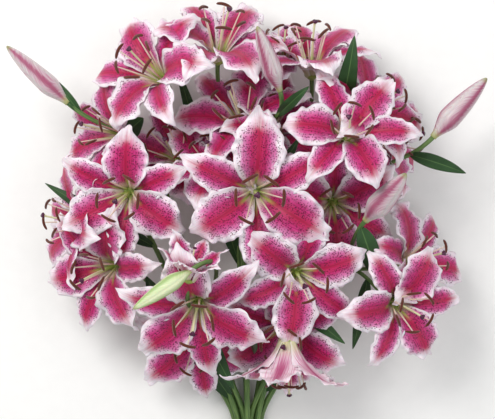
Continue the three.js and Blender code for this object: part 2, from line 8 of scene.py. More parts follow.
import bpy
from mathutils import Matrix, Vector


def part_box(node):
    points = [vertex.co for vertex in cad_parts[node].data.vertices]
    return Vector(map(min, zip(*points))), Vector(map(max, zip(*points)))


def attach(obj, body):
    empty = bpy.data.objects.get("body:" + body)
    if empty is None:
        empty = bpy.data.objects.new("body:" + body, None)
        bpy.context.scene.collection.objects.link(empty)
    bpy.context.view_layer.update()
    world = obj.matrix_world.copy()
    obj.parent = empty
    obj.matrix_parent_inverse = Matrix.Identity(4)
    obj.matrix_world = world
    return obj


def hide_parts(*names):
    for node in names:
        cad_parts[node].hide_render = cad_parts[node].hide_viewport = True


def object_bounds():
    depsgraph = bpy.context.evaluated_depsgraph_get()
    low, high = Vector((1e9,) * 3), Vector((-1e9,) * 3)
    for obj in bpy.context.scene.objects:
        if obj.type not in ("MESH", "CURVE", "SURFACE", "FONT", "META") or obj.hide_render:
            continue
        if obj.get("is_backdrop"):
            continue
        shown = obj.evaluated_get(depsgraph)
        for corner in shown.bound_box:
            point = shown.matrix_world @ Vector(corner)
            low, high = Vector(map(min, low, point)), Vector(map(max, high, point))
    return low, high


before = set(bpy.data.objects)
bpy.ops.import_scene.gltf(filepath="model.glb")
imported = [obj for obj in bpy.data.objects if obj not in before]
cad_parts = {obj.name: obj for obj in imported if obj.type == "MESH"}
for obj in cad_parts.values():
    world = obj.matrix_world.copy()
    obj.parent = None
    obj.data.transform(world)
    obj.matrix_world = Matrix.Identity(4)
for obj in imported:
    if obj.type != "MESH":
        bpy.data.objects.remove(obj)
solid_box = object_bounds()
print(len(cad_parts), "solids in", [tuple(round(v, 3) for v in corner) for corner in solid_box])

# %% Tools used below
import math

import bmesh
import bpy
import numpy as np
from mathutils import Vector

MM = 0.001


def vary(seed, k):
    """A repeatable number from -1 to 1, so that no two petals are quite alike."""
    x = math.sin(seed * 12.9898 + k * 78.233) * 43758.5453
    return 2 * (x - math.floor(x)) - 1


def smooth(low, high, x):
    """An S-shaped step from 0 at low to 1 at high."""
    t = np.clip((np.asarray(x, float) - low) / (high - low), 0, 1)
    return t * t * (3 - 2 * t)


print("every irregularity below comes from vary(), so each run is the same")

# %% [markdown]
# ## What grows where
# A florist knows a bouquet by its heads. Each open flower has the place of its throat, how far its face
# leans from straight up and the compass direction it leans to, the direction of its first broad petal, its
# size, how far it has opened and how far its tips curl back. Buds, stems and leaves are listed in the same
# way. These are the sizes the solids were made from, in millimetres and degrees.

# %% The heads, stems and leaves
CLEARANCE = 0.5
HEAD_WIDTH, HEAD_LENGTH = 600, 510
TEPAL_LENGTH, INNER_HALF_WIDTH, OUTER_HALF_WIDTH = 106, 32, 22
FUNNEL, CLAW = 27, 0.26
PETAL_RING, FILAMENT_RING = 6.6, 4.4
SEPAL_STEP = 1.7
RECEPTACLE_RADIUS, RECEPTACLE_DEPTH = 9.6, 7
THROAT_DEPTH = 36
FILAMENT_LENGTH, ANTHER_LENGTH, ANTHER_RADIUS = 66, 21, 2.3
STYLE_LENGTH, STYLE_RADIUS, OVARY_RADIUS, STIGMA_RADIUS = 76, 1.4, 2.7, 3.6
STEM_RADIUS, PEDICEL_RADIUS = 4.2, 2.6
NECK_Y, TAIL_LENGTH, TAIL_SPLAY = -300, 125, 2.1
TIE_WIDTH, TIE_THICKNESS = 26, 3

# name: throat, lean, leans to, first petal, size, how far open, curl
FLOWERS = {
    "centre": ((12, 18, 182), 8, 300, 90, 1.14, 80, 62),
    "left": ((-154, 16, 150), 12, 230, 88, 1.0, 76, 60),
    "right": ((126, 101, 172), 18, 75, 54, 0.94, 78, 66),
    "lower_right": ((197, -121, 142), 22, 340, 62, 0.94, 82, 72),
    "lower_left": ((-64, -129, 168), 24, 260, 340, 1.04, 80, 50),
    "lower_centre": ((65, -85, 160), 14, 300, 20, 0.98, 78, 92),
    "far_left": ((-188, -78, 118), 30, 200, 190, 0.98, 78, 60),
    "upper_left": ((-127, 178, 132), 40, 144, 350, 1.04, 80, 84),
    "top": ((-33, 221, 118), 52, 82, 178, 1.04, 82, 70),
    "top_right": ((81, 204, 108), 62, 92, 150, 0.98, 74, 76),
    "right_edge": ((164, 135, 118), 46, 35, 95, 0.94, 76, 66),
    "upper_centre": ((-12, 125, 112), 34, 110, 75, 1.0, 76, 60),
    "inner_left": ((-44, 62, 112), 40, 105, 130, 0.92, 70, 80),
    "inner_right": ((111, 2, 108), 12, 280, 35, 1.0, 76, 60),
    "lower_middle": ((46, -158, 116), 24, 250, 330, 1.0, 76, 60),
    "left_edge": ((-228, -14, 92), 62, 178, 115, 0.94, 74, 66),
    "right_back": ((192, 92, 84), 60, 5, 280, 0.94, 76, 78),
    "far_right": ((222, -62, 92), 48, 25, 0, 0.94, 78, 90),
    "bottom_left": ((-66, -174, 84), 26, 262, 335, 0.96, 84, 50),
    "middle_top": ((36, 112, 96), 34, 60, 20, 0.92, 68, 84),
    "bottom": ((50, -196, 138), 84, 268, 90, 0.92, 54, 40),
    "left_back": ((-186, 102, 86), 48, 170, 90, 0.9, 74, 70),
    "middle_left": ((-98, 76, 84), 28, 130, 50, 0.9, 76, 66),
    "top_back": ((46, 204, 80), 54, 82, 30, 0.88, 74, 76),
    "half_open": ((-68, -66, 188), 62, 80, 20, 0.55, 38, 24),
}
# name: base, lean, leans to, length, greatest radius
BUDS = {
    "left": ((-226, 134, 116), 84, 137, 104, 13),
    "top": ((40, 146, 156), 62, 111, 90, 12.5),
    "right": ((234, 91, 112), 84, 48, 100, 14.5),
    "inner_right": ((147, -14, 134), 62, 51, 84, 15.5),
    "green": ((-67, -72, 206), 86, 214, 84, 10.5),
}
# name: place in the tie, fork, the heads it carries
STEMS = {
    "far_left": ((-2, 0), (-118, -112, 44), ["flower_far_left"]),
    "upper_left": ((-1, 0), (-122, 66, 40),
        ["flower_upper_left", "bud_left", "flower_left_back", "flower_middle_left"]),
    "top": ((0, 0), (-18, 74, 40), ["flower_top", "flower_upper_centre", "bud_top"]),
    "top_right": ((1, 0), (80, 104, 36), ["flower_top_right", "flower_right_edge", "flower_top_back"]),
    "far_right": ((2, 0), (128, -84, 46), ["flower_lower_right", "flower_far_right", "bud_inner_right"]),
    "left": ((-1.5, 1), (-128, -34, 54), ["flower_left", "flower_left_edge"]),
    "lower_left": ((-0.5, 1), (-46, -162, 52),
        ["flower_lower_left", "flower_bottom_left", "flower_half_open", "bud_green"]),
    "lower_right": ((0.5, 1), (44, -168, 48),
        ["flower_lower_centre", "flower_lower_middle", "flower_bottom"]),
    "right": ((1.5, 1), (104, 22, 58),
        ["flower_right", "flower_right_back", "bud_right", "flower_inner_right"]),
    "centre": ((0, 2), (-6, -24, 72), ["flower_centre", "flower_inner_left", "flower_middle_top"]),
}
# name: what it grows on, how far along that, its tip, how high it arches, half its width
LEAVES = {
    "bud_left": ("bud_left", 0.86, (-250, 170, 104), 10, 6),
    "upper_left": ("bud_left", 0.4, (-132, 116, 104), 10, 13),
    "far_left": ("stem_left", 0.96, (-262, 34, 66), 22, 11),
    "top": ("bud_top", 0.72, (75, 150, 176), 14, 7),
    "top_right": ("flower_right_edge", 0.62, (131, 213, 168), 30, 12),
    "bud_right": ("bud_right", 0.78, (277, 46, 104), 14, 9),
    "right": ("stem_right", 0.97, (204, 30, 70), 18, 10),
    "inner_top": ("stem_centre", 0.98, (66, 92, 126), 12, 12),
    "inner_right": ("bud_inner_right", 0.9, (166, -92, 108), 8, 13),
    "lower_right": ("flower_lower_right", 0.4, (134, -178, 96), 14, 9),
    "lower_middle": ("flower_lower_centre", 0.45, (122, -168, 128), 16, 10),
    "lower_centre": ("stem_centre", 0.62, (12, -164, 132), 26, 13),
    "bottom_left": ("flower_half_open", 0.4, (-17, -228, 106), 20, 11),
    "middle_left": ("stem_far_left", 0.9, (-130, -84, 98), 18, 11),
    "low_left": ("stem_left", 0.42, (-96, -138, 14), 18, 13),
    "low_right": ("stem_right", 0.4, (96, -150, 14), 18, 13),
    "back_left": ("stem_top", 0.7, (-96, 196, 12), 14, 13),
    "back_right": ("stem_top_right", 0.72, (196, 150, 10), 12, 13),
}
print(len(FLOWERS), "flowers,", len(BUDS), "buds,", len(STEMS), "stems,", len(LEAVES), "leaves")

# %% [markdown]
# The tie is the one piece whose place doesn't depend on anything else, so its box says where the frame's
# origin lies among these sizes.

# %% From the bouquet's own sizes to the frame
tie_low, tie_high = (np.array(corner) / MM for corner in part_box("tie"))
tie_middle = (tie_low + tie_high) / 2
SHIFT = np.array([tie_middle[0], tie_middle[1] - NECK_Y, tie_low[2] - CLEARANCE])
print("the frame's origin is shifted by", SHIFT.round(2), "mm")


HEAD_DRAWN = (600, 510)  # the width and length of head that the places were drawn for


def spot(p):
    """A place in the flower head as a vector."""
    return np.array([p[0] * HEAD_WIDTH / HEAD_DRAWN[0], p[1] * HEAD_LENGTH / HEAD_DRAWN[1], p[2]], float)


def heading(lean, to):
    """A direction from its lean from straight up and its compass direction."""
    l, a = math.radians(lean), math.radians(to)
    return np.array([math.sin(l) * math.cos(a), math.sin(l) * math.sin(a), math.cos(l)])


def unit(v):
    return v / np.linalg.norm(v)


# %% [markdown]
# ## Camera, floor and light
# The bouquet is seen from straight above, from a little under two metres, so the nearer flowers look a
# touch larger than the ones behind. A wide soft light stands up and to the left, a weaker one fills from
# the right, and the room itself is bright, as for a catalogue page on white.

# %% Camera
VIEW_WIDTH = 619  # in mm, at the height below
VIEW_HEIGHT_LEVEL = 130
VIEW_DISTANCE = 1800
SENSOR = 36
camera_data = bpy.data.cameras.new("camera")
camera_data.sensor_width = SENSOR
camera_data.lens = SENSOR * VIEW_DISTANCE / VIEW_WIDTH
camera_data.clip_end = 20
camera = bpy.data.objects.new("camera", camera_data)
camera.location = Vector((SHIFT + [0, 0, VIEW_HEIGHT_LEVEL + VIEW_DISTANCE]) * MM)
bpy.context.scene.collection.objects.link(camera)
bpy.context.scene.camera = camera
print("a", round(camera_data.lens), "mm lens at", tuple(round(v, 3) for v in camera.location))

# %% Lights
centre = Vector(SHIFT * MM)


def soft_light(name, place, size, watts, colour):
    data = bpy.data.lights.new(name, "AREA")
    data.size, data.energy, data.color = size, watts, colour
    lamp = bpy.data.objects.new(name, data)
    lamp.location = centre + Vector(place)
    lamp.rotation_euler = (-Vector(place)).to_track_quat("-Z", "Y").to_euler()
    bpy.context.scene.collection.objects.link(lamp)


soft_light("key_light", (-0.9, 0.9, 1.7), 1.0, 29, (1, 0.985, 0.96))
soft_light("fill_light", (1.2, -0.3, 1.5), 1.6, 9, (0.96, 0.98, 1))
room = bpy.data.worlds.new("room")
room.use_nodes = True
room.node_tree.nodes["Background"].inputs["Color"].default_value = (1, 1, 1, 1)
room.node_tree.nodes["Background"].inputs["Strength"].default_value = 0.5
bpy.context.scene.world = room
bpy.context.scene.view_settings.view_transform = "Standard"  # keeps the crimson as strong as it is
print("key, fill and room light")

# %% [markdown]
# ## A way to write finishes
# A finish is a small sum: so much crimson along the middle of a petal, less towards its edge. To write it
# as a sum, `Value` wraps one socket of the shader and turns +, - and * into Math nodes, and `Finish`
# makes every other node.


# %% Values that can be added and multiplied
class Value:
    """One output socket that can stand in a sum."""

    def __init__(self, finish, socket):
        self.finish, self.socket = finish, socket

    def sum(self, operation, *terms):
        return self.finish.node("Math", {"operation": operation}, dict(enumerate(terms)))

    def __add__(self, other):
        return self.sum("ADD", self, other)

    def __sub__(self, other):
        return self.sum("SUBTRACT", self, other)

    def __rsub__(self, other):
        return self.sum("SUBTRACT", other, self)

    def __mul__(self, other):
        return self.sum("MULTIPLY", self, other)

    __radd__, __rmul__ = __add__, __mul__

    def size(self):
        """The value without its sign."""
        return self.sum("ABSOLUTE", self)


# %% A finish and its nodes
RELIEF_STRENGTH = 0.8


def tint(code):
    """A colour from its usual web code, as the linear light a shader wants."""
    parts = [int(code[i : i + 2], 16) / 255 for i in (1, 3, 5)]
    return (*[c / 12.92 if c <= 0.04045 else ((c + 0.055) / 1.055) ** 2.4 for c in parts], 1)


class Finish:
    """A material built from named nodes."""

    def __init__(self, name, **constants):
        self.material = bpy.data.materials.new(name)
        self.material.use_nodes = True
        self.tree = self.material.node_tree
        self.shader = self.tree.nodes["Principled BSDF"]
        for socket, value in constants.items():
            self.shader.inputs[socket.replace("_", " ")].default_value = value

    def node(self, kind, settings=None, inputs=None, output=0):
        made = self.tree.nodes.new("ShaderNode" + kind)
        for key, value in (settings or {}).items():
            setattr(made, key, value)
        for key, value in (inputs or {}).items():
            if isinstance(value, Value):
                self.tree.links.new(value.socket, made.inputs[key])
            else:
                made.inputs[key].default_value = value
        return Value(self, made.outputs[output])

    def read(self, name, output="Fac"):
        """A value that the mesh carries, such as how far along a petal a point is."""
        return self.node("Attribute", {"attribute_name": name}, output=output)

    def step(self, low, high, value):
        """An S-shaped step from 0 at low to 1 at high."""
        settings = {"interpolation_type": "SMOOTHSTEP"}
        return self.node("MapRange", settings, {"Value": value, "From Min": low, "From Max": high})

    def mix(self, a, b, share):
        """Colour a, with a share of colour b over it."""
        return self.node("Mix", {"data_type": "RGBA"}, {0: share, 6: a, 7: b}, output=2)

    def stretch(self, vector, by):
        return self.node("VectorMath", {"operation": "MULTIPLY"}, {0: vector, 1: by})

    def noise(self, vector, scale, detail=2):
        return self.node("TexNoise", None, {"Vector": vector, "Scale": scale, "Detail": detail}, "Fac")

    def wear(self, colour, roughness, relief, depth):
        """Joins what varies over the surface to the shader; depth is the relief's height in millimetres."""
        inputs = {"Height": relief, "Distance": depth * MM, "Strength": RELIEF_STRENGTH}
        normal = self.node("Bump", None, inputs, "Normal")
        for value, socket in ((colour, "Base Color"), (roughness, "Roughness"), (normal, "Normal")):
            self.tree.links.new(value.socket, self.shader.inputs[socket])
        return self.material


print("ready to write finishes")

# %% [markdown]
# ## The petals' finish
# A petal is crimson along its middle, pink beside that and white along its wavy edge and at its tip. Its
# lower two thirds carry raised dark spots, and the throat is pale with a green furrow down each petal.
# The back is paler, with a pink and green rib. Every petal carries how far along it a point is, how far
# across, and which side it is on, so the finish follows the petal however it bends.


# %% Petal
def petal_finish():
    made = Finish("petal", IOR=1.38, Subsurface_Weight=0.06, Subsurface_Scale=0.0015, Sheen_Weight=0.05)
    along, across, front = made.read("along"), made.read("across"), made.read("front")
    place, tone = made.read("place", "Vector"), made.read("tone")
    out = across.size()
    patchy = made.noise(place, 0.09) - 0.5
    streaks = made.noise(made.stretch(place, (0.035, 0.8, 1)), 1.0, 3)
    fine = made.noise(made.stretch(place, (0.06, 2.2, 1)), 1.0, 2)
    ragged = patchy * 0.3 + (streaks - 0.5) * 0.3 - tone * 0.08
    edge = made.step(0.64, 0.88, out + ragged)
    tip = made.step(0.68, 0.92, along + out * 0.12 + patchy * 0.14 + (streaks - 0.5) * 0.12)
    white = 1 - (1 - edge) * (1 - tip)
    # crimson along the middle, magenta-pink to either side of it, then paler towards the margin
    middle = (1 - made.step(0.0, 0.46, out + patchy * 0.3)) * made.step(0.08, 0.3, along)
    middle = middle * (1 - made.step(0.8, 1.0, along))
    vein = (1 - made.step(0.0, 0.07, out)) * made.step(0.2, 0.4, along)
    pink = made.mix(tint("#cf3a86"), tint("#a00f58"), made.step(0.3, 0.7, streaks))
    pink = made.mix(pink, tint("#d681b4"), made.step(0.34, 0.74, out + ragged))
    colour = made.mix(pink, tint("#b30f40"), middle * (0.8 + patchy * 0.5))
    colour = made.mix(colour, tint("#8d0a35"), vein * 0.5)
    margin = made.mix(tint("#f0edf1"), tint("#dcc2d3"), made.step(0.35, 0.8, fine))
    colour = made.mix(colour, margin, white * 0.96)
    # raised dark spots, closest together low on the petal and to either side of its middle
    cells = {"Vector": place, "Scale": 0.47, "Randomness": 0.95}
    near = made.node("TexVoronoi", {"feature": "F1"}, cells, "Distance")
    chance = made.node("TexVoronoi", {"feature": "F1"}, cells, "Color")
    chance = made.node("SeparateColor", None, {"Color": chance}, "Red")
    where = made.step(0.06, 0.16, along) * (1 - made.step(0.55, 0.88, along))
    where = where * made.step(0.02, 0.14, out) * (1 - made.step(0.7, 0.92, out))
    spots = (1 - made.step(0.26, 0.42, near)) * made.step(0.2, 0.34, where * (0.4 + chance * 0.8))
    colour = made.mix(colour, tint("#560530"), spots * 0.92)
    throat = 1 - made.step(0.08, 0.24, along + patchy * 0.06)
    colour = made.mix(colour, tint("#ecdccb"), throat * 0.75)
    furrow = (1 - made.step(0.05, 0.17, out)) * (1 - made.step(0.14, 0.32, along))
    colour = made.mix(colour, tint("#a9b94c"), furrow * 0.85)
    # the back of the petal
    rib = 1 - made.step(0.04, 0.34, out)
    back = made.mix(tint("#efdbe5"), tint("#c9709b"), made.step(0.35, 0.8, streaks + (0.5 - out) * 0.3))
    back = made.mix(back, tint("#ad2f6b"), rib * made.step(0.15, 0.5, along) * 0.8)
    back = made.mix(back, tint("#c2c98c"), (1 - made.step(0.02, 0.3, along)) * 0.8)
    back = made.mix(back, margin, white * 0.5)
    colour = made.mix(back, colour, front)
    relief = streaks * 0.4 + fine * 0.2 + spots * front * 0.6 + made.noise(place, 1.4) * 0.12
    return made.wear(colour, 0.4 + patchy * 0.2 - spots * 0.06, relief, 0.9)


PETAL = petal_finish()
print("petal:", len(PETAL.node_tree.nodes), "nodes")

# %% [markdown]
# ## Stamens and pistil
# The six filaments are pale green, running to pink. Each carries a rust-brown anther that is dusty with
# pollen. The style in the middle is greenish white and ends in a dark sticky stigma with three lobes.


# %% Filament, anther and pistil
def filament_finish():
    made = Finish("filament", IOR=1.4, Subsurface_Weight=0.1, Subsurface_Scale=0.001)
    along, place = made.read("along"), made.read("place", "Vector")
    grain = made.noise(made.stretch(place, (0.1, 2, 1)), 0.8)
    colour = made.mix(tint("#bfce78"), tint("#e8d3c4"), made.step(0.15, 0.8, along + grain * 0.3))
    return made.wear(colour, 0.35 + grain * 0.2, grain, 0.2)


def anther_finish():
    made = Finish("anther", IOR=1.45, Sheen_Weight=0.3)
    place = made.read("place", "Vector")
    dust = made.noise(place, 2.4, 4)
    colour = made.mix(tint("#3b1108"), tint("#8f3a14"), made.step(0.4, 0.75, dust))
    return made.wear(colour, 0.75 + dust * 0.2, dust, 0.5)


def pistil_finish():
    made = Finish("pistil", IOR=1.42, Subsurface_Weight=0.08, Subsurface_Scale=0.001)
    along, place = made.read("along"), made.read("place", "Vector")
    grain = made.noise(made.stretch(place, (0.15, 1.5, 1)), 0.8)
    colour = made.mix(tint("#9db257"), tint("#dfe2b4"), made.step(0.2, 0.5, along + grain * 0.1))
    colour = made.mix(colour, tint("#4b1a3a"), made.step(0.93, 0.955, along))
    return made.wear(colour, 0.42 - made.step(0.92, 0.95, along) * 0.22, grain, 0.3)


FILAMENT, ANTHER, PISTIL = filament_finish(), anther_finish(), pistil_finish()
print("filament, anther and pistil finishes")

# %% [markdown]
# ## Buds, leaves, stems and raffia
# A closed bud is three outer petals edge to edge: pale, with a pink flush down each rib and a green tip.
# Leaves are glossy dark green with fine parallel veins. Stems are green with a pale cut face, and the
# raffia is a dry straw-coloured fibre.


# %% Buds
def bud_finish(name, pale, flush, rib, tip):
    made = Finish(name, IOR=1.4, Subsurface_Weight=0.1, Subsurface_Scale=0.002)
    along, around = made.read("along"), made.read("across")
    place = made.read("place", "Vector")
    streaks = made.noise(made.stretch(place, (0.04, 0.8, 1)), 1.0, 3)
    # around runs from 0 at a seam to 1 on the rib between two seams
    colour = made.mix(tint(pale), tint(flush), made.step(0.3, 0.75, streaks * 0.7 + around * 0.35))
    colour = made.mix(colour, tint(rib), made.step(0.62, 0.95, around + streaks * 0.25 - 0.1) * 0.6)
    colour = made.mix(colour, tint(tip), made.step(0.9, 1.0, along) * 0.8)
    colour = made.mix(colour, tint("#a9b66c"), (1 - made.step(0.0, 0.14, along)) * 0.85)
    return made.wear(colour, 0.4 + streaks * 0.14, streaks * 0.5 + around * 0.2, 0.5)


BUD = bud_finish("bud", "#d6cfcf", "#b06f8c", "#8f2450", "#8f9a5c")
GREEN_BUD = bud_finish("green_bud", "#dfe6c0", "#b9cf94", "#86aa5c", "#9a9c66")
print("two bud finishes")


# %% Leaves, stems, cut ends and raffia
def leaf_finish():
    made = Finish("leaf", IOR=1.45)
    across, front = made.read("across"), made.read("front")
    place = made.read("place", "Vector")
    veins = made.node("TexWave", {"bands_direction": "Y"}, {
        "Vector": place, "Scale": 0.22, "Distortion": 0.6, "Detail": 1, "Detail Scale": 0.4}, "Fac")
    cloud = made.noise(place, 0.06)
    colour = made.mix(tint("#142f18"), tint("#3a6432"), cloud * 0.7 + veins * 0.26)
    colour = made.mix(colour, tint("#6f9458"), (1 - made.step(0.02, 0.1, across.size())) * 0.5)
    colour = made.mix(made.mix(colour, tint("#7b9a72"), 0.45), colour, front)
    return made.wear(colour, 0.34 + cloud * 0.18, veins + cloud * 0.3, 0.5)


def stem_finish():
    made = Finish("stem", IOR=1.43)
    along, place = made.read("along"), made.read("place", "Vector")
    ribs = made.noise(made.stretch(place, (0.03, 0.9, 1)), 1.0, 3)
    colour = made.mix(tint("#33552a"), tint("#7c9a55"), made.step(0.3, 0.75, ribs))
    colour = made.mix(colour, tint("#4c3f33"), made.step(0.74, 0.86, made.noise(place, 0.35)) * 0.35)
    colour = made.mix(colour, tint("#6b8a4e"), along * 0.35)
    return made.wear(colour, 0.4 + ribs * 0.2, ribs, 0.5)


def cut_finish():
    made = Finish("cut_end", IOR=1.4)
    place = made.read("place", "Vector")
    pith = made.noise(place, 1.6, 4)
    return made.wear(made.mix(tint("#a9b27a"), tint("#d9d6a8"), pith), 0.6 + pith * 0.1, pith, 0.4)


def raffia_finish():
    made = Finish("raffia", IOR=1.45, Sheen_Weight=0.2)
    place = made.read("place", "Vector")
    fibre = made.noise(made.stretch(place, (0.05, 3, 1)), 1.0, 4)
    colour = made.mix(tint("#9c7b45"), tint("#dcc48f"), made.step(0.3, 0.7, fibre))
    return made.wear(colour, 0.75 + fibre * 0.15, fibre, 0.6)


LEAF, STEM, CUT_END, RAFFIA = leaf_finish(), stem_finish(), cut_finish(), raffia_finish()
print("leaf, stem, cut end and raffia finishes")

# %% [markdown]
# The floor is a plain pale sheet, which isn't part of the bouquet.


# %% Floor
FLOOR_REACH = 4  # metres from the middle to each side


def floor():
    made = Finish("floor_paper", IOR=1.4)
    fleck = made.noise(made.node("NewGeometry", output="Position"), 60)
    made.wear(made.mix(tint("#f6f6f5"), tint("#fbfbfa"), fleck), 0.85 + fleck * 0.05, fleck, 0.02)
    mesh = bpy.data.meshes.new("floor")
    corners = [(x * FLOOR_REACH, y * FLOOR_REACH, 0) for x, y in ((-1, -1), (1, -1), (1, 1), (-1, 1))]
    mesh.from_pydata(corners, [], [(0, 1, 2, 3)])
    mesh.materials.append(made.material)
    sheet = bpy.data.objects.new("floor", mesh)
    bpy.context.scene.collection.objects.link(sheet)
    sheet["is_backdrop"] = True


floor()
print("floor")

# %% [markdown]
# ## Growing skins
# Petals, leaves, filaments and stems are all grown the same way: ring after ring of points, closed at both
# ends. `Growth` gathers the rings of one piece, with the values that its finishes read, into one mesh.


# %% Growth
class Growth:
    """Gathers closed skins into one mesh."""

    def __init__(self):
        self.points, self.faces, self.slots, self.count = [], [], [], 0
        self.place = []
        self.values = {"along": [], "across": [], "front": [], "tone": []}

    def add(self, rings, along, across=0, front=1, place=None, tone=0, slot=0, end_slot=None):
        """rings is rows x around x 3, in mm; the values are given for each point of it."""
        rows, around = rings.shape[:2]
        place = rings if place is None else place
        for store, value in zip(self.values.values(), (along, across, front, tone)):
            field = np.broadcast_to(value, (rows, around)).reshape(-1)
            store += [field, field[:1], field[-1:]]
        for store, p in ((self.points, rings), (self.place, place)):
            store += [p.reshape(-1, 3), p[0].mean(0, keepdims=True), p[-1].mean(0, keepdims=True)]
        index = self.count + np.arange(rows * around).reshape(rows, around)
        beside = np.roll(index, -1, axis=1)
        quads = np.stack([index[:-1], beside[:-1], beside[1:], index[1:]], axis=-1).reshape(-1, 4)
        first, last = self.count + rows * around, self.count + rows * around + 1
        self.faces += quads.tolist()
        self.faces += [[first, int(b), int(a)] for a, b in zip(index[0], beside[0])]
        self.faces += [[last, int(a), int(b)] for a, b in zip(index[-1], beside[-1])]
        ends = slot if end_slot is None else end_slot
        self.slots += [slot] * len(quads) + [ends] * around + [slot] * around
        self.count += rows * around + 2

    def piece(self, name, finishes, cad_nodes, slot):
        """Makes the mesh, gives it its finishes and puts it in the place of its solids."""
        mesh = bpy.data.meshes.new(name)
        points = (np.concatenate(self.points) + SHIFT) * MM
        mesh.from_pydata(points.tolist(), [], self.faces)
        for key, store in self.values.items():
            mesh.attributes.new(key, "FLOAT", "POINT").data.foreach_set("value", np.concatenate(store))
        place = mesh.attributes.new("place", "FLOAT_VECTOR", "POINT")
        place.data.foreach_set("vector", np.concatenate(self.place).ravel())
        mesh.polygons.foreach_set("use_smooth", [True] * len(mesh.polygons))
        mesh.polygons.foreach_set("material_index", self.slots)
        facing = bmesh.new()
        facing.from_mesh(mesh)
        bmesh.ops.recalc_face_normals(facing, faces=facing.faces)
        facing.to_mesh(mesh)
        facing.free()
        for finish in finishes:
            mesh.materials.append(finish)
        mesh.update()
        made = bpy.data.objects.new(name, mesh)
        bpy.context.scene.collection.objects.link(made)
        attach(made, "root")
        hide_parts(*cad_nodes)


print("Growth gathers rings into a piece")

# %% [markdown]
# A stem, a filament or a bud is a tube along a line. The ring at each point of the line is turned as
# little as possible from the one before, so the tube doesn't twist.


# %% Tubes
def frames_along(line):
    """For each point of a line, its direction and two directions across it."""
    ahead = np.gradient(line, axis=0)
    ahead /= np.linalg.norm(ahead, axis=1, keepdims=True)
    side = unit(np.cross(ahead[0], [0.31, 0.17, 0.93] if abs(ahead[0][2]) < 0.8 else [1, 0.1, 0]))
    sides = []
    for direction in ahead:
        side = unit(side - direction * (side @ direction))
        sides.append(side)
    sides = np.array(sides)
    return ahead, sides, np.cross(ahead, sides)


def tube(line, radii, around=10, shape=None):
    """Rings along a line; shape(angle) may make them other than round."""
    ahead, side, up = frames_along(line)
    angle = np.linspace(0, math.tau, around, endpoint=False)
    radii = np.asarray(radii, float).reshape(len(line), -1) * (1 if shape is None else shape(angle))
    radii = np.broadcast_to(radii, (len(line), around))
    rings = line[:, None] + radii[..., None] * (
        np.cos(angle)[None, :, None] * side[:, None] + np.sin(angle)[None, :, None] * up[:, None])
    length = np.concatenate([[0], np.cumsum(np.linalg.norm(np.diff(line, axis=0), axis=1))])
    place = np.stack([np.broadcast_to(length[:, None], radii.shape), radii * angle + 40,
                      np.full(radii.shape, line[0].sum())], axis=-1)
    return rings, place


def bezier(points, count):
    """Points along a curve with three or four handles."""
    t = np.linspace(0, 1, count)[:, None]
    points = [np.asarray(p, float) for p in points]
    while len(points) > 1:
        points = [a * (1 - t) + b * t for a, b in zip(points, points[1:])]
    return points[0]


print("tubes and curves")

# %% [markdown]
# ## A petal
# A lily has three broad petals and, just outside them, three narrower sepals that look the same. Each
# rises as part of a trumpet, spreads and curls back at its tip. In the throat it wraps round the flower's
# axis, and further out its edges fall back. A petal could be a flat card bent by a modifier, but it is
# easier to say where each point lies: how far along, how far across, and how far off the middle surface.
# The margin is waved, a furrow runs down the front, and a rib stands on the back.

# %% The run of a petal from its base to its tip
FINE = 120
ROWS, COLUMNS = 48, 19
LAST_ROW = 0.998  # just short of the tip, where the petal has no width
WRAP = math.radians(57)


def petal_line(flower, seed, k):
    """Distance out, height and lean along the middle of petal k, and its length."""
    _, _, _, _, size, opening, curl = flower
    outer = k % 2
    length = TEPAL_LENGTH * size * (1 + 0.05 * vary(seed, k))
    spread = opening + 5 * vary(seed, k + 10) + 3 * outer
    curled = curl * (1 + 0.3 * vary(seed, k + 20))
    s = np.linspace(0, 1, FINE + 1)
    lean = FUNNEL + (spread - FUNNEL) * smooth(0, 0.6, s) + curled * np.clip(2 * s - 1, 0, 1) ** 1.6
    lean = np.radians(lean + (24 + 26 * vary(seed, k + 25)) * smooth(0.8, 1, s))
    middle = (lean[1:] + lean[:-1]) / 2
    out = PETAL_RING + SEPAL_STEP * outer + np.append(0, np.cumsum(np.sin(middle))) * length / FINE
    height = -outer + np.append(0, np.cumsum(np.cos(middle))) * length / FINE
    rows = np.linspace(0, LAST_ROW, ROWS)
    return rows, *(np.interp(rows, s, v) for v in (out, height, lean)), length


def petal_width(s):
    """Half a petal's width along it, as a share of its greatest."""
    return (CLAW + (1 - CLAW) * smooth(0, 0.5, s)) * (1 - s**3.4) ** 0.8


print(ROWS, "rows along each petal and", COLUMNS, "points across it")


